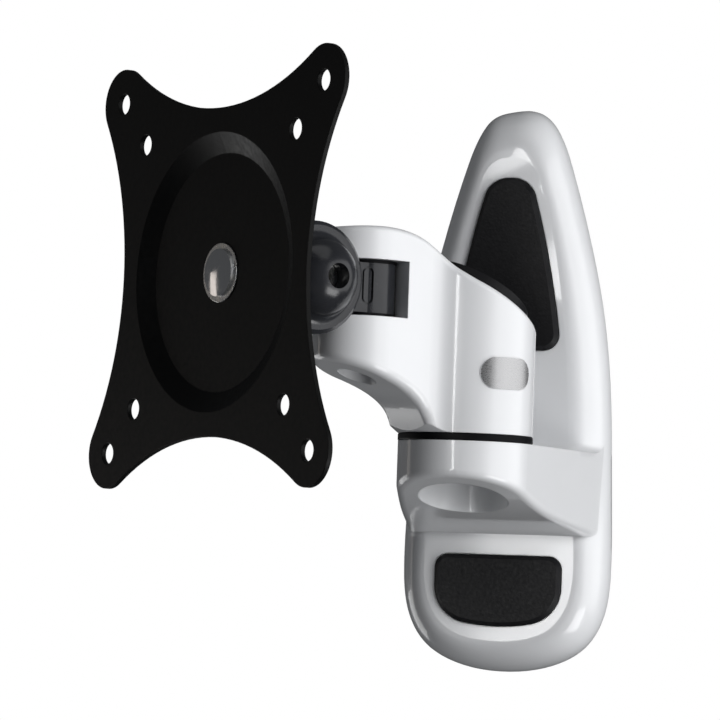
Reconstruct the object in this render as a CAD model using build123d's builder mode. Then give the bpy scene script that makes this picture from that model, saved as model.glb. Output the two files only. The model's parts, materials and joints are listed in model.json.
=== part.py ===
from build123d import *
import math
import os

# Full motion wall mount for a small screen: a cast wall bracket with a forward shelf, one short
# swinging arm, a swivel core in the arm's knuckle, a tilting head and a rotating screen plate.
# Millimetres. X runs right, Y into the wall and Z up; the origin is the centre of the back face.

# ---- driving dimensions ----
# wall bracket
bracket_top = 85.2           # ends of the bracket on the wall plane
bracket_bottom = -83.1
plateau_top = 70.0           # ends of its flat front
plateau_bottom = -74.0
plateau_depth = 14.0         # flat front of the bracket, measured from the wall
cover_depth = 16.0           # front face of the two covers, measured from the wall
cover_gap = 0.15             # gap round a cover in its pocket
wall_hole_z = (50.0, -58.0)  # heights of the two wall screws
wall_hole_radius = 3.25
# shelf and arm pivot
swivel_reach = 65.0          # arm pivot axis from the wall
shelf_top = -17.5            # top face of the shelf
nose_bottom = -27.6          # lower edge of the shelf's round nose
hub_radius = 19.3            # round nose of the shelf and foot of the arm
shelf_half_width = 30.2      # the shelf where it meets the wall plane
ring_thickness = 2.2
pocket_radius = 13.0         # opening under the shelf for the pivot bolt's head
bolt_seat = -21.5            # roof of that opening, where the bolt's washer bears
pivot_radius = 5.0           # pivot bolt
# arm
nut_seat = 4.0               # floor of the nut's recess in the arm
arm_yaw = 41.05              # arm's direction at rest, from straight out towards -X
arm_length = 38.8            # pivot axis to knuckle axis
knuckle_radius = 13.0
web_half_width = 10.4        # arm between its foot and its knuckle
web_blend = 7.6              # hollow blend between web and foot
slot_bottom = 16.0
slot_top = 32.0
slot_back = 8.5              # back wall of the slot, behind the knuckle axis
# swivel core and tilting head
core_radius = 10.0
slot_washer = 1.0            # thickness of the washers above and below the core
knuckle_screw_radius = 3.0
head_reach = 50.0            # knuckle axis to the front of the screen plate
tilt_setback = 24.9          # tilt axis behind the front of the screen plate
tilt_rise = 1.2              # tilt axis above the middle of the slot
lean = 0.7                   # head and plate at rest lean back by this many degrees
barrel_radius = 9.0
barrel_half_width = 9.3
tilt_washer = 1.0
ear_radius = 15.8            # rim of the bell on each side of the head
ear_face = 15.3              # outer face of the rim, from the middle of the head
bell_apex = 26.4
tilt_screw_radius = 2.5
# screen plate
vesa_100 = 100.0
vesa_75 = 75.0
vesa_hole_radius = 3.0
plate_thickness = 1.4
plate_corner = 10.0
edge_waist = 45.8            # the plate's hollow sides at their middle
dish_outer = 39.0
dish_inner = 33.3
dish_depth = 2.8
head_pad_radius = 19.0
friction_disc = 1.0
rotation_washer_height = 0.45
rotation_screw_radius = 4.0

# ---- frames of the moving pieces at rest ----
yaw = math.radians(arm_yaw)
forward = Vector(-math.sin(yaw), -math.cos(yaw), 0)
sideways = Vector(math.cos(yaw), -math.sin(yaw), 0)
up = Vector(0, 0, 1)
slot_middle = (slot_bottom + slot_top) / 2
pivot_foot = Vector(0, -swivel_reach, 0)
knuckle_foot = pivot_foot + forward * arm_length
knuckle_centre = knuckle_foot + up * slot_middle
tilt_centre = knuckle_centre + forward * (head_reach - tilt_setback) + up * tilt_rise
facing = forward * math.cos(math.radians(lean)) + up * math.sin(math.radians(lean))
plate_up = up * math.cos(math.radians(lean)) - forward * math.sin(math.radians(lean))
plate_centre = tilt_centre + facing * tilt_setback
ring_top = shelf_top + ring_thickness

pivot_plan = Plane(pivot_foot, x_dir=(1, 0, 0), z_dir=(0, 0, 1))
arm_plan = Plane(pivot_foot, x_dir=forward, z_dir=(0, 0, 1))
arm_side = Plane(pivot_foot, x_dir=forward, z_dir=sideways * -1)
knuckle_plan = Plane(knuckle_foot, x_dir=forward, z_dir=(0, 0, 1))
tilt_side = Plane(tilt_centre, x_dir=facing * -1, z_dir=sideways)
plate_front = Plane(plate_centre, x_dir=sideways, z_dir=facing)
plate_section = Plane(plate_centre, x_dir=facing, z_dir=sideways * -1)
tilt_axis = Axis(tilt_centre, sideways)
plate_axis = Axis(plate_centre, facing)

os.makedirs("parts", exist_ok=True)


def save(piece, name):
    """Label a finished piece and write it as one STEP file."""
    piece.part.label = name
    export_step(piece.part, "parts/" + name + ".step")


def ring_sketch(outer, inner):
    """A flat ring in the current sketch."""
    Circle(outer)
    Circle(inner, mode=Mode.SUBTRACT)


# ---- wall bracket ----
# half-width of the bracket on the wall plane at each height, from its narrow top to its round bottom
outline_half = [(9.3, 82.0), (12.0, 78.0), (15.9, 68.0), (21.4, 49.0), (26.6, 26.0), (29.7, 0.0),
                (30.9, -29.0), (31.4, -52.0), (29.3, -67.0), (24.5, -75.0), (15.3, -80.6)]
# the same points drawn in to the rim of the flat front
plateau_half = [(4.2, 69.2), (6.8, 67.0), (9.8, 60.0), (13.4, 46.0), (17.0, 24.0), (19.2, 0.0),
                (20.8, -28.0), (22.6, -51.0), (21.2, -62.0), (17.2, -68.8), (10.2, -72.8)]


def bracket_outline(share):
    """Closed outline of the bracket, drawn in by a share of the way from the wall to the flat front."""
    right = [(x + (px - x) * share, z + (pz - z) * share)
             for (x, z), (px, pz) in zip(outline_half, plateau_half)]
    left = [(-x, z) for x, z in reversed(right)]
    top = (0, bracket_top + (plateau_top - bracket_top) * share)
    bottom = (0, bracket_bottom + (plateau_bottom - bracket_bottom) * share)
    Spline(top, *right, bottom, *left, periodic=True)


# rounded triangle of the upper cover, drawn with its own X across and Y up
with BuildSketch() as upper_cover_face:
    with BuildLine():
        Line((-16.6, 12.6), (16.6, 12.6))
        ThreePointArc((16.6, 12.6), (12.6, 38.0), (6.0, 63.7))
        Line((6.0, 63.7), (-6.0, 63.7))
        ThreePointArc((-6.0, 63.7), (-12.6, 38.0), (-16.6, 12.6))
    make_face()
    fillet(vertices().group_by(Axis.Y)[0], radius=4.6)
    fillet(vertices().group_by(Axis.Y)[-1], radius=7.0)

# D shape of the lower cover, flat side up
with BuildSketch() as lower_cover_face:
    with BuildLine():
        Line((-19.1, -48.5), (19.1, -48.5))
        Line((19.1, -48.5), (19.1, -66.0))
        ThreePointArc((19.1, -66.0), (0, -69.7), (-19.1, -66.0))
        Line((-19.1, -66.0), (-19.1, -48.5))
    make_face()
    fillet(vertices().group_by(Axis.Y)[0], radius=11.0)
    fillet(vertices().group_by(Axis.Y)[-1], radius=4.0)


def rim_angle(step):
    """Angle of one section of the rim's quarter ellipse."""
    return math.radians(90 * step / 5)


# shelf: a round nose on the pivot axis that flares to the bracket's width at the wall
flare = math.asin((shelf_half_width - hub_radius) / swivel_reach)
touch_x = hub_radius * math.cos(flare)
touch_y = -swivel_reach - hub_radius * math.sin(flare)
with BuildPart() as shelf:
    with BuildSketch(Plane.XY.offset(nose_bottom - 20)):
        with BuildLine():
            Line((shelf_half_width, -1), (touch_x, touch_y))
            ThreePointArc((touch_x, touch_y), (0, -swivel_reach - hub_radius), (-touch_x, touch_y))
            Line((-touch_x, touch_y), (-shelf_half_width, -1))
            Line((-shelf_half_width, -1), (shelf_half_width, -1))
        make_face()
    extrude(amount=60)
    # side profile: flat top, underside sweeping down towards the wall
    with BuildSketch(Plane.YZ):
        with BuildLine():
            Line((0, shelf_top), (-100, shelf_top))
            Line((-100, shelf_top), (-100, nose_bottom + 4))
            Spline((-100, nose_bottom + 4), (-84.3, nose_bottom), (-54, -36.6), (-28, -40.6), (0, -44.0),
                   tangents=[(1, -0.2), (1, -0.12)])
            Line((0, -44.0), (0, shelf_top))
        make_face()
    extrude(amount=60, both=True, mode=Mode.INTERSECT)
    lower_rim = shelf.edges().filter_by(lambda e: -43 < e.center().Z < shelf_top - 2 and e.center().Y < -10)
    fillet(lower_rim.filter_by(Axis.Z, reverse=True), radius=2.4)

with BuildPart() as wall_bracket:
    # pillowed body: sections of a quarter-ellipse rim from the wall to the flat front
    for step in range(6):
        with BuildSketch(Plane.XZ.offset(plateau_depth * math.sin(rim_angle(step)))):
            with BuildLine():
                bracket_outline(1 - math.cos(rim_angle(step)))
            make_face()
    loft()
    add(shelf.part)
    top_corner = wall_bracket.edges().filter_by_position(Axis.Z, shelf_top - 0.2, shelf_top + 0.2)
    fillet(top_corner.filter_by_position(Axis.Y, -plateau_depth - 0.5, -plateau_depth + 4), radius=3)
    # opening under the shelf for the pivot bolt's head, and the bolt's bore
    with BuildSketch(pivot_plan.offset(-60)):
        Circle(pocket_radius)
    extrude(amount=60 + bolt_seat, mode=Mode.SUBTRACT)
    with BuildSketch(pivot_plan.offset(-30)):
        Circle(pivot_radius + 0.25)
    extrude(amount=20, mode=Mode.SUBTRACT)
    # pockets for the covers, with deeper wells for the screw heads
    for face in (upper_cover_face, lower_cover_face):
        with BuildSketch(Plane.XZ.offset(plateau_depth - 2.5)):
            add(face.sketch)
            offset(amount=cover_gap)
        extrude(amount=10, mode=Mode.SUBTRACT)
    for z in wall_hole_z:
        with BuildSketch(Plane.XZ.offset(6)):
            with Locations((0, z)):
                Circle(7.0)
        extrude(amount=10, mode=Mode.SUBTRACT)
        with BuildSketch(Plane.XZ.offset(-1)):
            with Locations((0, z)):
                Circle(wall_hole_radius)
        extrude(amount=10, mode=Mode.SUBTRACT)
    # cored back: shallow pockets that leave ribs between them
    with BuildSketch(Plane.XZ.offset(-1)):
        with Locations((0, 68), (0, 33), (0, 18), (-12.5, 18), (12.5, 18)):
            RectangleRounded(9, 11, 2)
        with Locations((0, 3), (-14, 3), (14, 3), (0, -12), (-14, -12), (14, -12)):
            RectangleRounded(11, 11, 2)
        with Locations((0, -27), (-14, -27), (14, -27), (0, -42), (-14, -42), (14, -42)):
            RectangleRounded(11, 11, 2)
        with Locations((-17, -58), (17, -58)):
            RectangleRounded(11, 11, 2)
    extrude(amount=8, mode=Mode.SUBTRACT)
save(wall_bracket, "wall_bracket")

# ---- covers over the wall screws ----
for face, name, screw_z in ((upper_cover_face, "upper_cover", wall_hole_z[0]),
                            (lower_cover_face, "lower_cover", wall_hole_z[1])):
    with BuildPart() as cover:
        with BuildSketch(Plane.XZ.offset(plateau_depth - 2.5)):
            add(face.sketch)
        extrude(amount=cover_depth - plateau_depth + 2.5)
        chamfer(cover.faces().sort_by(Axis.Y)[0].edges(), length=1.2)
        # a split collar behind the face snaps into the screw's well
        with BuildSketch(Plane.XZ.offset(plateau_depth - 6.0)):
            with Locations((0, screw_z)):
                Circle(6.9)
                Circle(5.5, mode=Mode.SUBTRACT)
                Rectangle(20, 3, mode=Mode.SUBTRACT)
        extrude(amount=4.0)
    save(cover, name)

# ---- arm pivot: bolt, washer, friction ring, bushes, spring washers and lock nut ----
bolt_head = 4.1              # a low hexagon head, hidden up inside the opening
with BuildPart() as pivot_washer:
    with BuildSketch(pivot_plan.offset(bolt_seat - 1.0)):
        ring_sketch(10.5, pivot_radius + 0.2)
    extrude(amount=1.0)
save(pivot_washer, "pivot_washer")

with BuildPart() as pivot_bolt:
    with BuildSketch(pivot_plan.offset(bolt_seat - 1.0 - bolt_head)):
        RegularPolygon(radius=8.5, side_count=6, major_radius=False)
    extrude(amount=bolt_head)
    with BuildSketch(pivot_plan.offset(bolt_seat - 2)):
        Circle(pivot_radius)
    extrude(amount=nut_seat + 14.5 - bolt_seat)
    chamfer(pivot_bolt.edges().filter_by(GeomType.CIRCLE).sort_by(Axis.Z)[-1], length=0.8)
save(pivot_bolt, "pivot_bolt")

with BuildPart() as base_ring:
    with BuildSketch(pivot_plan.offset(shelf_top)):
        ring_sketch(hub_radius + 0.1, pivot_radius + 0.3)
    extrude(amount=ring_thickness)
    fillet(base_ring.edges().filter_by(GeomType.CIRCLE).group_by(SortBy.RADIUS)[-1], radius=0.5)
save(base_ring, "base_ring")

bush_wall = 1.5
bush_radius = pivot_radius + 0.05
for name, low, high, flange_low in (("arm_bush_lower", ring_top, ring_top + 9.0, ring_top),
                                    ("arm_bush_upper", nut_seat - 9.0, nut_seat, nut_seat - 1.2)):
    with BuildPart() as bush:
        with BuildSketch(pivot_plan.offset(low)):
            ring_sketch(bush_radius + bush_wall, bush_radius)
        extrude(amount=high - low)
        with BuildSketch(pivot_plan.offset(flange_low)):
            ring_sketch(9.5, bush_radius)
        extrude(amount=1.2)
    save(bush, name)

with BuildPart() as spring_washers:
    # a pair of conical washers, rim to rim
    for base, tip in ((nut_seat + 1.5, nut_seat), (nut_seat + 1.5, nut_seat + 3.0)):
        rise = 1 if tip > base else -1
        with BuildSketch(Plane(pivot_foot, x_dir=(1, 0, 0), z_dir=(0, -1, 0))):
            with BuildLine():
                Polyline((9.5, base), (9.5, base + rise * 0.9), (5.3, tip), (5.3, tip - rise * 0.9), (9.5, base))
            make_face()
        revolve(axis=Axis(pivot_foot, (0, 0, 1)))
save(spring_washers, "spring_washers")

with BuildPart() as lock_nut:
    with BuildSketch(pivot_plan.offset(nut_seat + 3.0)):
        RegularPolygon(radius=8.5, side_count=6, major_radius=False)
        Circle(pivot_radius + 0.02, mode=Mode.SUBTRACT)
    extrude(amount=7.0)
    with BuildSketch(pivot_plan.offset(nut_seat + 10.0)):
        ring_sketch(7.0, pivot_radius + 0.02)
    extrude(amount=2.2)
save(lock_nut, "lock_nut")

# ---- arm ----
# slanted top behind the knuckle, falling towards the wall
slant_run = 0.55
slant_at_pivot = 24.0
slant = math.atan(slant_run)
slant_normal = up * math.cos(slant) - forward * math.sin(slant)
slant_plane = Plane(pivot_foot + up * slant_at_pivot, x_dir=sideways, z_dir=slant_normal)
cap_radius = 17.2
cap_seat = 1.6
nut_recess_radius = 11.5


# plan of the arm: round foot, waisted web, round knuckle
blend_t = web_half_width + web_blend
blend_s = math.sqrt((hub_radius + web_blend) ** 2 - blend_t ** 2)
foot_share = hub_radius / (hub_radius + web_blend)
web_turn = math.asin((knuckle_radius - web_half_width) / (arm_length - blend_s))
blend_angle = math.atan2(blend_t, blend_s)
foot_touch = (blend_s * foot_share, blend_t * foot_share)
web_touch = (blend_s + web_blend * math.sin(web_turn), blend_t - web_blend * math.cos(web_turn))
middle_angle = (blend_angle + math.pi + 1.5 * math.pi + web_turn) / 2
blend_middle = (blend_s + web_blend * math.cos(middle_angle), blend_t + web_blend * math.sin(middle_angle))
knuckle_touch = (arm_length - knuckle_radius * math.sin(web_turn), knuckle_radius * math.cos(web_turn))
with BuildSketch() as arm_face:
    with BuildLine():
        for side in (1, -1):
            ThreePointArc((-hub_radius, 0), (0, side * hub_radius), (foot_touch[0], side * foot_touch[1]))
            ThreePointArc((foot_touch[0], side * foot_touch[1]), (blend_middle[0], side * blend_middle[1]),
                          (web_touch[0], side * web_touch[1]))
            Line((web_touch[0], side * web_touch[1]), (knuckle_touch[0], side * knuckle_touch[1]))
        ThreePointArc(knuckle_touch, (arm_length + knuckle_radius, 0), (knuckle_touch[0], -knuckle_touch[1]))
    make_face()

with BuildPart() as arm:
    with BuildSketch(arm_plan.offset(ring_top)):
        add(arm_face.sketch)
    extrude(amount=60)
    # side profile: hollow belly below, humped knuckle and slanted back above
    with BuildSketch(arm_side):
        with BuildLine():
            Line((-25, ring_top), (19.8, ring_top))
            Spline((19.8, ring_top), (24.0, -8.0), (38.5, -0.8), (60, 6.0), tangents=[(0.3, 1), (1, 0.3)])
            Line((60, 6.0), (60, 39.5))
            Spline((60, 39.5), (50, 40.9), (40, 41.4), (31, 40.8), (24.6, 39.2), (17.0, 35.0), (8.0, 28.0),
                   tangents=[(-1, 0.1), (-1, -slant_run)])
            Line((8.0, 28.0), (-25, 28.0 - 33 * slant_run))
            Line((-25, 28.0 - 33 * slant_run), (-25, ring_top))
        make_face()
    extrude(amount=40, both=True, mode=Mode.INTERSECT)
    rim = arm.edges().filter_by(Axis.Z, reverse=True)
    fillet(rim.filter_by(lambda e: e.center().Z > 13), radius=1.7)
    belly = arm.edges().filter_by(Axis.Z, reverse=True)
    fillet(belly.filter_by(lambda e: ring_top + 0.5 < e.center().Z < 8), radius=2.6)
    # the web's root draws in to the round foot just above the ring
    with BuildSketch(arm_side):
        Polygon((hub_radius, ring_top), (hub_radius + 14, ring_top), (hub_radius + 14, ring_top + 10), align=None)
    revolve(axis=Axis(pivot_foot, up), mode=Mode.SUBTRACT)
    # slot round the front of the knuckle
    with BuildSketch(knuckle_plan.offset(slot_bottom)):
        Circle(core_radius + 0.15)
        with Locations((20 - slot_back / 2, 0)):
            Rectangle(40 + slot_back, 60)
    extrude(amount=slot_top - slot_bottom, mode=Mode.SUBTRACT)
    # knuckle screw: counterbore below, clearance hole, blind tapped hole above
    for radius, low, high in ((5.5, -12, 8), (knuckle_screw_radius + 0.2, 7, slot_bottom + 1),
                              (knuckle_screw_radius, slot_top - 1, slot_top + 5.5)):
        with BuildSketch(knuckle_plan.offset(low)):
            Circle(radius)
        extrude(amount=high - low, mode=Mode.SUBTRACT)
    # pivot bore with seats for the bush flanges, and the nut's recess
    for radius, low, high in ((bush_radius + bush_wall, ring_top - 1, nut_seat), (9.6, ring_top - 1, ring_top + 1.2),
                              (nut_recess_radius, nut_seat - 1.2, 40)):
        with BuildSketch(pivot_plan.offset(low)):
            Circle(radius)
        extrude(amount=high - low, mode=Mode.SUBTRACT)
    # seat of the cap in the slanted top
    with BuildSketch(slant_plane.offset(-cap_seat)):
        Circle(cap_radius + 0.1)
    extrude(amount=12, mode=Mode.SUBTRACT)
save(arm, "arm")

# domed cap over the nut's recess: a disc cut by a large sphere
cap_rise = 5.5
cap_sphere = 49.0
with BuildPart() as arm_cap:
    with BuildSketch(slant_plane.offset(-cap_seat)):
        Circle(cap_radius)
    extrude(amount=cap_seat + cap_rise)
    with Locations(slant_plane.origin + slant_normal * (cap_rise - cap_sphere)):
        Sphere(cap_sphere, mode=Mode.INTERSECT)
save(arm_cap, "arm_cap")

# plain curved badge on the near side of the arm's foot
badge_height = 2.0
with BuildPart() as arm_badge:
    with BuildSketch(arm_plan.offset(badge_height - 10)):
        ring_sketch(hub_radius + 0.5, hub_radius)
    extrude(amount=20)
    with BuildSketch(Plane(pivot_foot + up * badge_height, x_dir=forward * -1, z_dir=sideways)):
        RectangleRounded(17, 9, 4.4)
    extrude(amount=30, mode=Mode.INTERSECT)
save(arm_badge, "arm_badge")

# ---- knuckle: swivel core, its washers, bush and screw ----
core_bush_wall = 1.0
core_bore = knuckle_screw_radius + 0.05 + core_bush_wall
tilt_reach = head_reach - tilt_setback
neck_start = 3.6             # the neck starts inside the drum
neck_plug = knuckle_centre + forward * 4.0 + up * 0.6

with BuildPart() as swivel_core:
    with BuildSketch(knuckle_plan.offset(slot_bottom + slot_washer)):
        Circle(core_radius)
    extrude(amount=slot_top - slot_bottom - 2 * slot_washer)
    # flat-sided neck from the drum to the barrel
    with BuildSketch(Plane(knuckle_centre - forward * neck_start, x_dir=sideways, z_dir=forward)):
        Rectangle(2 * barrel_half_width, slot_top - slot_bottom - 2 * slot_washer)
    extrude(amount=neck_start + tilt_reach)
    # oblong groove round a plug in each side of the neck
    for side in (1, -1):
        with BuildSketch(Plane(neck_plug + sideways * side * (barrel_half_width - 0.5),
                               x_dir=up, z_dir=sideways * side)):
            SlotOverall(10.6, 3.6)
            SlotOverall(9.4, 2.4, mode=Mode.SUBTRACT)
        extrude(amount=1, mode=Mode.SUBTRACT)
    # barrel on the tilt axis
    with BuildSketch(tilt_side.offset(-barrel_half_width)):
        Circle(barrel_radius)
    extrude(amount=2 * barrel_half_width)
    with BuildSketch(knuckle_plan.offset(slot_bottom)):
        Circle(core_bore)
    extrude(amount=slot_top - slot_bottom, mode=Mode.SUBTRACT)
    with BuildSketch(tilt_side.offset(-barrel_half_width - 1)):
        Circle(tilt_screw_radius + 0.05 + core_bush_wall)
    extrude(amount=2 * barrel_half_width + 2, mode=Mode.SUBTRACT)
save(swivel_core, "swivel_core")

with BuildPart() as core_bush:
    with BuildSketch(knuckle_plan.offset(slot_bottom + slot_washer)):
        ring_sketch(core_bore, knuckle_screw_radius + 0.05)
    extrude(amount=slot_top - slot_bottom - 2 * slot_washer)
save(core_bush, "core_bush")

with BuildPart() as core_washers:
    for low in (slot_bottom, slot_top - slot_washer):
        with BuildSketch(knuckle_plan.offset(low)):
            ring_sketch(core_radius, knuckle_screw_radius + 0.2)
        extrude(amount=slot_washer)
save(core_washers, "core_washers")

with BuildPart() as knuckle_washer:
    with BuildSketch(knuckle_plan.offset(7)):
        ring_sketch(5.3, knuckle_screw_radius + 0.2)
    extrude(amount=1)
save(knuckle_washer, "knuckle_washer")

with BuildPart() as knuckle_screw:
    with BuildSketch(knuckle_plan.offset(3)):
        Circle(5.0)
    extrude(amount=4)
    with BuildSketch(knuckle_plan.offset(3)):
        Circle(knuckle_screw_radius - 0.02)
    extrude(amount=slot_top + 2)
    with BuildSketch(knuckle_plan.offset(3)):
        RegularPolygon(radius=2.5, side_count=6, major_radius=False)
    extrude(amount=2.6, mode=Mode.SUBTRACT)
save(knuckle_screw, "knuckle_screw")

# ---- tilting head ----
pad_back = 5.8 + 5.0         # back of the head's pad, behind the front of the screen plate
pad_front = plate_thickness + dish_depth + friction_disc
ear_inner = barrel_half_width + tilt_washer
screw_seat = 14.0            # floors of the holes for the tilt screw's head and nut
web_start = 6.0              # the ears' webs start clear of those holes
insert_radius = 6.5

with BuildPart() as tilt_head:
    with BuildSketch(plate_front.offset(-pad_back)):
        Circle(head_pad_radius)
    extrude(amount=pad_back - pad_front)
    fillet(tilt_head.edges().filter_by(GeomType.CIRCLE), radius=0.8)
    for side, bore in ((1, 3.55), (-1, 4.75)):
        # bell-shaped ear: flat rim, hollow blend and round dome, turned on the tilt axis
        with BuildSketch(Plane(tilt_centre, x_dir=plate_up, z_dir=plate_up.cross(sideways * side))):
            with BuildLine():
                Polyline((bore, bell_apex - 0.9), (bore, ear_inner), (ear_radius - 0.7, ear_inner),
                         (ear_radius, ear_inner + 0.7), (ear_radius, ear_face - 1.2), (ear_radius - 1.2, ear_face),
                         (13.6, ear_face))
                ThreePointArc((13.6, ear_face), (11.55, ear_face + 0.95), (10.6, ear_face + 3.4))
                Spline((10.6, ear_face + 3.4), (7.6, 23.3), (bore, bell_apex - 0.9), tangents=[(-0.25, 1), (-1, 0.2)])
            make_face()
        revolve(axis=tilt_axis)
        # web from the ear to the pad
        with BuildSketch(Plane(tilt_centre, x_dir=sideways, z_dir=facing).offset(web_start)):
            with Locations((side * (ear_inner + ear_face) / 2, 0)):
                Rectangle(ear_face - ear_inner, 22)
        extrude(amount=tilt_setback - pad_back - web_start + 1)
    # floors of the holes for the screw's head and the nut
    for low, high in ((ear_inner, screw_seat), (-screw_seat, -ear_inner)):
        with BuildSketch(tilt_side.offset(low)):
            ring_sketch(5.0, tilt_screw_radius + 0.1)
        extrude(amount=high - low)
    # bore for the threaded insert
    with BuildSketch(plate_front.offset(-pad_back - 1)):
        Circle(insert_radius)
    extrude(amount=pad_back, mode=Mode.SUBTRACT)
save(tilt_head, "tilt_head")

with BuildPart() as tilt_bush:
    with BuildSketch(tilt_side.offset(-barrel_half_width)):
        ring_sketch(tilt_screw_radius + 0.05 + core_bush_wall, tilt_screw_radius + 0.05)
    extrude(amount=2 * barrel_half_width)
save(tilt_bush, "tilt_bush")

with BuildPart() as tilt_washers:
    for low in (barrel_half_width, -barrel_half_width - tilt_washer):
        with BuildSketch(tilt_side.offset(low)):
            ring_sketch(8.5, tilt_screw_radius + 0.1)
        extrude(amount=tilt_washer)
save(tilt_washers, "tilt_washers")

with BuildPart() as tilt_screw:
    with BuildSketch(tilt_side.offset(-19.5)):
        Circle(tilt_screw_radius)
    extrude(amount=19.5 + screw_seat + 1)
    with BuildSketch(tilt_side.offset(screw_seat)):
        Circle(3.4)
    extrude(amount=6)
    with BuildSketch(tilt_side.offset(screw_seat + 3.4)):
        RegularPolygon(radius=2.0, side_count=6, major_radius=False)
    extrude(amount=5, mode=Mode.SUBTRACT)
save(tilt_screw, "tilt_screw")

with BuildPart() as tilt_nut:
    with BuildSketch(tilt_side.offset(-screw_seat - 4.5)):
        RegularPolygon(radius=4.0, side_count=6, major_radius=False)
        Circle(tilt_screw_radius + 0.02, mode=Mode.SUBTRACT)
    extrude(amount=4.5)
save(tilt_nut, "tilt_nut")

with BuildPart() as head_insert:
    with BuildSketch(plate_front.offset(-pad_back)):
        ring_sketch(insert_radius, rotation_screw_radius + 0.02)
    extrude(amount=pad_back - pad_front)
save(head_insert, "head_insert")

# ---- screen plate ----
half_vesa = vesa_100 / 2
waist_centre = (half_vesa ** 2 * 2 - (edge_waist - plate_corner) ** 2) / (2 * (half_vesa - edge_waist + plate_corner))
waist_reach = math.hypot(waist_centre - half_vesa, half_vesa)
touch = (half_vesa + plate_corner * (waist_centre - half_vesa) / waist_reach,
         half_vesa - plate_corner * half_vesa / waist_reach)
corner_tip = half_vesa + plate_corner * math.cos(math.radians(45))

with BuildPart() as vesa_plate:
    with BuildSketch(plate_front.offset(-plate_thickness)):
        with BuildLine():
            for turn in range(4):
                angle = 90 * turn
                points = [Vector(*p).rotate(Axis.Z, angle) for p in
                          ((touch[0], -touch[1]), (edge_waist, 0), touch,
                           (corner_tip, corner_tip), (touch[1], touch[0]))]
                ThreePointArc(points[0], points[1], points[2])
                ThreePointArc(points[2], points[3], points[4])
        make_face()
    extrude(amount=plate_thickness)
    # round dish pressed back behind the front face
    with BuildSketch(plate_section):
        Polygon((0.5, 0), (0.5, dish_outer), (0, dish_outer), (-dish_depth, dish_inner), (-dish_depth, 0),
                align=None)
    revolve(axis=plate_axis, mode=Mode.SUBTRACT)
    with BuildSketch(plate_section):
        Polygon((-dish_depth, 0), (-dish_depth, dish_inner), (0, dish_outer), (-plate_thickness, dish_outer + 0.4),
                (-dish_depth - plate_thickness, dish_inner + 0.4), (-dish_depth - plate_thickness, 0), align=None)
    revolve(axis=plate_axis)
    with BuildSketch(plate_front.offset(-10)):
        with GridLocations(vesa_100, vesa_100, 2, 2):
            Circle(vesa_hole_radius)
        with GridLocations(vesa_75, vesa_75, 2, 2):
            Circle(vesa_hole_radius)
        Circle(rotation_screw_radius + 0.05)
    extrude(amount=20, mode=Mode.SUBTRACT)
save(vesa_plate, "vesa_plate")

with BuildPart() as plate_friction_disc:
    with BuildSketch(plate_front.offset(-pad_front)):
        ring_sketch(head_pad_radius - 1, rotation_screw_radius + 0.25)
    extrude(amount=friction_disc)
save(plate_friction_disc, "plate_friction_disc")

with BuildPart() as rotation_washer:
    with BuildSketch(plate_front.offset(-dish_depth)):
        ring_sketch(8.3, rotation_screw_radius + 0.1)
    extrude(amount=rotation_washer_height)
    fillet(rotation_washer.edges().filter_by(GeomType.CIRCLE).group_by(SortBy.RADIUS)[-1], radius=0.15)
save(rotation_washer, "rotation_washer")

head_seat = rotation_washer_height - dish_depth
head_sphere = 44.5

with BuildPart() as rotation_screw:
    with BuildSketch(plate_front.offset(-pad_back)):
        Circle(rotation_screw_radius)
    extrude(amount=pad_back + head_seat)
    # low domed head
    with BuildSketch(plate_front.offset(head_seat)):
        Circle(6.65)
    extrude(amount=1.2)
    with Locations(plate_centre + facing * (head_seat + 1.2 - head_sphere)):
        Sphere(head_sphere, mode=Mode.INTERSECT)
save(rotation_screw, "rotation_screw")
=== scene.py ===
"""Small full motion wall mount: camera, studio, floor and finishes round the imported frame."""
import bpy
import bmesh
import json
import math
from mathutils import Matrix, Vector

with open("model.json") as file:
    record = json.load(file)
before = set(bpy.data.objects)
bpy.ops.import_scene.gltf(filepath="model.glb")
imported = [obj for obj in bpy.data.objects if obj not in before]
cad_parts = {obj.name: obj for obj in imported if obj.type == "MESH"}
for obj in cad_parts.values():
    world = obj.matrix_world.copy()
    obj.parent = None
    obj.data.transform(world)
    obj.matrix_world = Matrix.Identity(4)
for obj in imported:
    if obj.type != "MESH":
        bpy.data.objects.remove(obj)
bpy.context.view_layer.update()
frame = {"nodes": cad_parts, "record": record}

FLOOR_HEIGHT = -0.9
FLOOR_RADIUS = 2.4
WASH_SIZE = 3.0              # panel that lights the floor
WASH_POWER = 35
WORLD_LIGHT = 0.065          # soft light from all round
BACKDROP_WHITE = 1.0         # what shows behind the object


# ---------------------------------------------------------------- camera
CAMERA_AZIMUTH = 13.8        # degrees from straight in front, towards +X
CAMERA_ELEVATION = -3.1      # from just below
CAMERA_ROLL = 2.0
CAMERA_DISTANCE = 1.406
CAMERA_LENS = 245            # mm, on a sensor 36 mm wide
SENSOR_WIDTH = 36
AIM = Vector((-0.0298, -0.0735, 0.0052))


def compass(azimuth, elevation):
    """Unit vector from the object towards a place round it."""
    a, e = math.radians(azimuth), math.radians(elevation)
    return Vector((math.sin(a) * math.cos(e), -math.cos(a) * math.cos(e), math.sin(e)))


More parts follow.
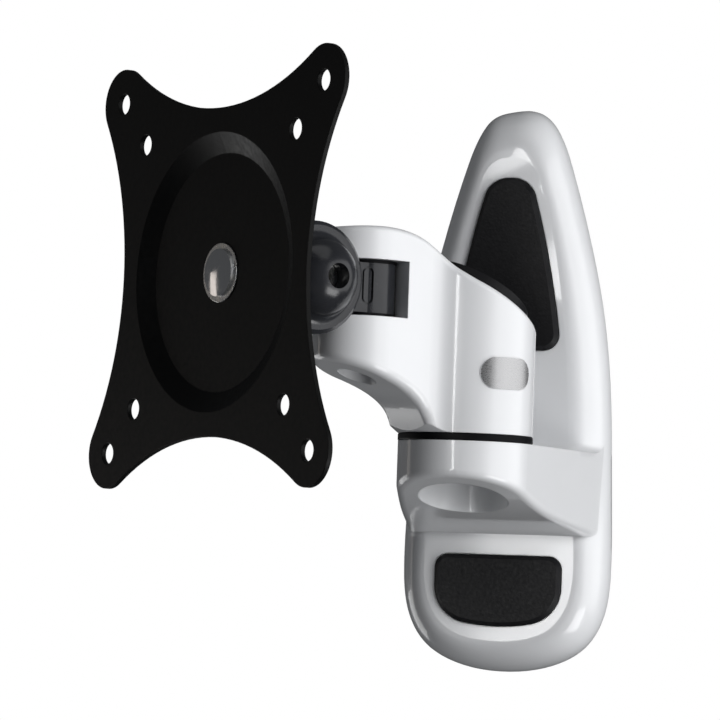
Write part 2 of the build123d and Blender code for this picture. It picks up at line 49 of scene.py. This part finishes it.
def make_camera():
    """Long lens at the chosen angle, rolled about its own axis."""
    back = compass(CAMERA_AZIMUTH, CAMERA_ELEVATION)
    level = Vector((0, 0, 1)).cross(back).normalized()
    upright = back.cross(level)
    roll = math.radians(CAMERA_ROLL)
    right = level * math.cos(roll) + upright * math.sin(roll)
    top = upright * math.cos(roll) - level * math.sin(roll)
    data = bpy.data.cameras.new("camera")
    data.lens = CAMERA_LENS
    data.sensor_width = SENSOR_WIDTH
    data.clip_start = 0.05
    data.clip_end = 20
    camera = bpy.data.objects.new("camera", data)
    turn = Matrix((right, top, back)).transposed().to_4x4()
    camera.matrix_world = Matrix.Translation(AIM + back * CAMERA_DISTANCE) @ turn
    bpy.context.collection.objects.link(camera)
    bpy.context.scene.camera = camera


# ---------------------------------------------------------------- studio
def softbox(name, azimuth, elevation, distance, width, height, watts, colour=(1, 1, 1), only=None):
    """Rectangular area light that faces the object.

    only is "shade" for a light that isn't seen in gloss, and "gloss" for one that is seen only there.
    """
    data = bpy.data.lights.new(name, "AREA")
    data.shape = "RECTANGLE"
    data.size = width
    data.size_y = height
    data.energy = watts
    data.color = colour
    lamp = bpy.data.objects.new(name, data)
    away = compass(azimuth, elevation)
    lamp.location = away * distance
    lamp.rotation_mode = "QUATERNION"
    lamp.rotation_quaternion = away.to_track_quat("Z", "Y")
    lamp.visible_glossy = only != "shade"
    lamp.visible_diffuse = only != "gloss"
    bpy.context.collection.objects.link(lamp)


def make_studio():
    """Soft panels round the object, a faint light from all round and a white backdrop."""
    softbox("key_box", 55, 14, 1.6, 0.8, 1.2, 16.6, only="shade")
    softbox("side_box", 105, 5, 1.6, 0.9, 1.3, 7.5, only="shade")
    softbox("wall_box", 88, 6, 1.6, 2.1, 1.7, 10, only="gloss")
    softbox("strip_box", -9, 8, 1.8, 0.22, 1.2, 8, only="gloss")
    softbox("top_box", 20, 70, 1.5, 1.2, 1.2, 2)
    softbox("low_box", 65, -33, 1.2, 0.7, 0.5, 4.4)
    softbox("left_box", -112, -22, 1.4, 0.7, 0.7, 2.7)
    softbox("back_box", 195, 15, 1.6, 1.4, 1.4, 9, only="shade")
    softbox("left_card", -97, -4, 1.8, 0.25, 0.6, 0.35, (1, 0.9, 0.82), only="gloss")
    world = bpy.data.worlds.new("studio")
    world.use_nodes = True
    bpy.context.scene.world = world
    nodes, links = world.node_tree.nodes, world.node_tree.links
    nodes.clear()
    seen = nodes.new("ShaderNodeBackground")
    seen.inputs["Color"].default_value = (1, 1, 1, 1)
    seen.inputs["Strength"].default_value = BACKDROP_WHITE
    around = nodes.new("ShaderNodeBackground")
    around.inputs["Color"].default_value = (0.93, 0.96, 1, 1)
    around.inputs["Strength"].default_value = WORLD_LIGHT
    path = nodes.new("ShaderNodeLightPath")
    mix = nodes.new("ShaderNodeMixShader")
    out = nodes.new("ShaderNodeOutputWorld")
    links.new(path.outputs["Is Camera Ray"], mix.inputs[0])
    links.new(around.outputs[0], mix.inputs[1])
    links.new(seen.outputs[0], mix.inputs[2])
    links.new(mix.outputs[0], out.inputs["Surface"])
    bpy.context.scene.view_settings.view_transform = "Standard"


def make_floor():
    """Plain pale disc, well below the object, with a soft wash of its own."""
    mesh = bpy.data.meshes.new("floor")
    shape = bmesh.new()
    bmesh.ops.create_circle(shape, cap_ends=True, segments=96, radius=FLOOR_RADIUS)
    shape.to_mesh(mesh)
    shape.free()
    floor = bpy.data.objects.new("floor", mesh)
    floor.location.z = FLOOR_HEIGHT
    bpy.context.collection.objects.link(floor)
    pale = Surface("floor_paint", (0.78, 0.78, 0.77), 0.7)
    pale.tint(pale.noise(0.2), (0.77, 0.77, 0.76), (0.8, 0.8, 0.79))
    floor.data.materials.append(pale.material)
    floor.visible_diffuse = False
    floor.visible_glossy = False
    # the panel hangs below the object and faces down, so it lights the floor alone
    wash = bpy.data.lights.new("floor_wash", "AREA")
    wash.size = WASH_SIZE
    wash.energy = WASH_POWER
    panel = bpy.data.objects.new("floor_wash", wash)
    panel.location.z = FLOOR_HEIGHT / 2
    bpy.context.collection.objects.link(panel)


# ---------------------------------------------------------------- materials
class Surface:
    """One procedural finish, built node by node on a Principled shader in object space."""

    def __init__(self, name, colour, roughness, metallic=0.0, specular=0.5):
        self.slot = name
        self.material = bpy.data.materials.new(name + "_finish")
        self.material.use_nodes = True
        self.nodes = self.material.node_tree.nodes
        self.links = self.material.node_tree.links
        self.shader = self.nodes["Principled BSDF"]
        self.place = self.nodes.new("ShaderNodeTexCoord").outputs["Object"]
        self.normal = None
        self.shader.inputs["Base Color"].default_value = (*colour, 1)
        self.shader.inputs["Roughness"].default_value = roughness
        self.shader.inputs["Metallic"].default_value = metallic
        self.shader.inputs["Specular IOR Level"].default_value = specular

    def soften(self, radius):
        """Rounded look on sharp edges; radius is metres, or a socket that gives them."""
        bevel = self.nodes.new("ShaderNodeBevel")
        bevel.samples = 6
        if isinstance(radius, float):
            bevel.inputs["Radius"].default_value = radius
        else:
            self.links.new(radius, bevel.inputs["Radius"])
        self.normal = bevel.outputs["Normal"]
        self.links.new(self.normal, self.shader.inputs["Normal"])
        return self

    def ramp(self, source, start, end, low=0.0, high=1.0):
        """source mapped smoothly from start to end onto low to high."""
        mapped = self.nodes.new("ShaderNodeMapRange")
        mapped.interpolation_type = "SMOOTHSTEP"
        for socket, value in (("From Min", start), ("From Max", end), ("To Min", low), ("To Max", high)):
            mapped.inputs[socket].default_value = value
        self.links.new(source, mapped.inputs["Value"])
        return mapped.outputs["Result"]

    def times(self, first, second):
        """Product of two sockets."""
        product = self.nodes.new("ShaderNodeMath")
        product.operation = "MULTIPLY"
        self.links.new(first, product.inputs[0])
        self.links.new(second, product.inputs[1])
        return product.outputs[0]

    def coat(self, weight, roughness):
        """Clear gloss over the colour."""
        self.shader.inputs["Coat Weight"].default_value = weight
        self.shader.inputs["Coat Roughness"].default_value = roughness
        return self

    def noise(self, size, detail=2.0, stretch=(1, 1, 1)):
        """Noise whose features are about size metres across."""
        scaled = self.nodes.new("ShaderNodeVectorMath")
        scaled.operation = "MULTIPLY"
        scaled.inputs[1].default_value = [axis / size for axis in stretch]
        self.links.new(self.place, scaled.inputs[0])
        texture = self.nodes.new("ShaderNodeTexNoise")
        texture.inputs["Scale"].default_value = 1.0
        texture.inputs["Detail"].default_value = detail
        self.links.new(scaled.outputs[0], texture.inputs["Vector"])
        return texture.outputs["Fac"]

    def cells(self, size):
        """Rounded grains about size metres across."""
        scaled = self.nodes.new("ShaderNodeVectorMath")
        scaled.operation = "SCALE"
        scaled.inputs["Scale"].default_value = 1 / size
        self.links.new(self.place, scaled.inputs[0])
        texture = self.nodes.new("ShaderNodeTexVoronoi")
        texture.feature = "SMOOTH_F1"
        texture.inputs["Scale"].default_value = 1.0
        self.links.new(scaled.outputs[0], texture.inputs["Vector"])
        return texture.outputs["Distance"]

    def spread(self, source, low, high):
        """source, mostly between 0.3 and 0.7, mapped onto low to high."""
        mapped = self.nodes.new("ShaderNodeMapRange")
        mapped.inputs["From Min"].default_value = 0.3
        mapped.inputs["From Max"].default_value = 0.7
        mapped.inputs["To Min"].default_value = low
        mapped.inputs["To Max"].default_value = high
        self.links.new(source, mapped.inputs["Value"])
        return mapped.outputs["Result"]

    def tint(self, source, dark, light):
        """Colour that drifts between two tones."""
        mix = self.nodes.new("ShaderNodeMix")
        mix.data_type = "RGBA"
        mix.inputs[6].default_value = (*dark, 1)
        mix.inputs[7].default_value = (*light, 1)
        self.links.new(self.spread(source, 0, 1), mix.inputs[0])
        self.links.new(mix.outputs[2], self.shader.inputs["Base Color"])
        return self

    def gloss(self, source, low, high):
        """Roughness that drifts between two values."""
        self.links.new(self.spread(source, low, high), self.shader.inputs["Roughness"])
        return self

    def bump(self, source, depth, strength=1.0):
        """Relief depth metres deep, laid over any earlier relief."""
        relief = self.nodes.new("ShaderNodeBump")
        relief.inputs["Distance"].default_value = depth
        relief.inputs["Strength"].default_value = strength
        self.links.new(source, relief.inputs["Height"])
        if self.normal is not None:
            self.links.new(self.normal, relief.inputs["Normal"])
        self.normal = relief.outputs["Normal"]
        self.links.new(self.normal, self.shader.inputs["Normal"])
        return self


# where the shelf runs into the bracket, in metres: each pair is where the soft blend fades in or out
BLEND_BOTTOM = (-0.0470, -0.0445)
BLEND_TOP = (-0.0170, -0.0190)
BLEND_FRONT = (-0.030, -0.024)
EDGE_ROUND = 0.0006
BLEND_ROUND = 0.0036


def make_materials():
    """The finishes, by the name of the material slot that each belongs to."""
    white = Surface("white_paint", (0.83, 0.84, 0.86), 0.3).coat(0.8, 0.06)
    # the cast shelf runs into the bracket with a wide soft blend
    split = white.nodes.new("ShaderNodeSeparateXYZ")
    white.links.new(white.place, split.inputs[0])
    above = white.ramp(split.outputs["Z"], *BLEND_BOTTOM)
    below = white.ramp(split.outputs["Z"], *BLEND_TOP)
    behind = white.ramp(split.outputs["Y"], *BLEND_FRONT)
    blend = white.times(white.times(above, below), behind)
    white.soften(white.ramp(blend, 0.0, 1.0, EDGE_ROUND, BLEND_ROUND))
    white.tint(white.noise(0.03), (0.815, 0.825, 0.845), (0.835, 0.845, 0.865))
    white.gloss(white.noise(0.012), 0.28, 0.31)

    black = Surface("black_paint", (0.003, 0.003, 0.003), 0.4, specular=0.16)
    black.soften(0.0004)
    black.tint(black.noise(0.02), (0.0025, 0.0025, 0.0025), (0.004, 0.004, 0.004))
    black.gloss(black.noise(0.0015), 0.36, 0.48)
    black.bump(black.noise(0.0006, 3.0), 0.00001, 0.4)

    charcoal = Surface("charcoal_paint", (0.018, 0.019, 0.023), 0.24, specular=0.7)
    charcoal.tint(charcoal.noise(0.008), (0.015, 0.016, 0.019), (0.022, 0.023, 0.027))
    charcoal.gloss(charcoal.noise(0.001), 0.2, 0.27)
    charcoal.bump(charcoal.noise(0.0005, 3.0), 0.000006, 0.4)

    cover = Surface("cover_plastic", (0.005, 0.005, 0.006), 0.48, specular=0.25)
    cover.tint(cover.noise(0.006), (0.004, 0.004, 0.005), (0.007, 0.007, 0.008))
    cover.gloss(cover.noise(0.001), 0.42, 0.55)
    # the grain is on the flat face only; the sloped border is smooth
    facing = cover.nodes.new("ShaderNodeSeparateXYZ")
    cover.links.new(cover.nodes["Texture Coordinate"].outputs["Normal"], facing.inputs[0])
    flat = cover.ramp(facing.outputs["Y"], -0.9, -0.98)
    cover.bump(cover.times(cover.cells(0.0007), flat), 0.00008, 0.8)

    nylon = Surface("black_nylon", (0.004, 0.004, 0.005), 0.4, specular=0.12)
    nylon.gloss(nylon.noise(0.002), 0.42, 0.55)
    nylon.bump(nylon.noise(0.0008), 0.00002, 0.5)

    bush = Surface("bush_nylon", (0.72, 0.7, 0.64), 0.45)
    bush.tint(bush.noise(0.005), (0.68, 0.66, 0.6), (0.76, 0.74, 0.68))
    bush.bump(bush.noise(0.001), 0.00002, 0.5)

    zinc = Surface("zinc_steel", (0.62, 0.62, 0.6), 0.3, 1.0)
    zinc.tint(zinc.noise(0.003), (0.54, 0.55, 0.57), (0.68, 0.67, 0.63))
    zinc.gloss(zinc.noise(0.0012), 0.22, 0.4)
    zinc.bump(zinc.noise(0.0007, 3.0), 0.00002, 0.5)

    chrome = Surface("chrome_steel", (0.86, 0.86, 0.87), 0.1, 1.0)
    chrome.gloss(chrome.noise(0.002), 0.06, 0.14)
    chrome.bump(chrome.noise(0.0015), 0.00001, 0.3)

    badge = Surface("badge_metal", (0.7, 0.7, 0.71), 0.3, 1.0)
    badge.gloss(badge.noise(0.0006, 1.0, (1, 1, 12)), 0.22, 0.4)
    badge.bump(badge.noise(0.0003, 1.0, (0.05, 0.05, 1)), 0.00001, 0.5)

    surfaces = (white, black, charcoal, cover, nylon, bush, zinc, chrome, badge)
    return {surface.slot: surface.material for surface in surfaces}


def paint_cad(finishes):
    """Gives each CAD node the procedural finish of its own material slot."""
    for part in frame["record"]["subparts"]:
        node = frame["nodes"][part["node"]]
        node.data.materials.clear()
        node.data.materials.append(finishes[part["material_slot"]])


make_camera()
make_studio()
make_floor()
paint_cad(make_materials())
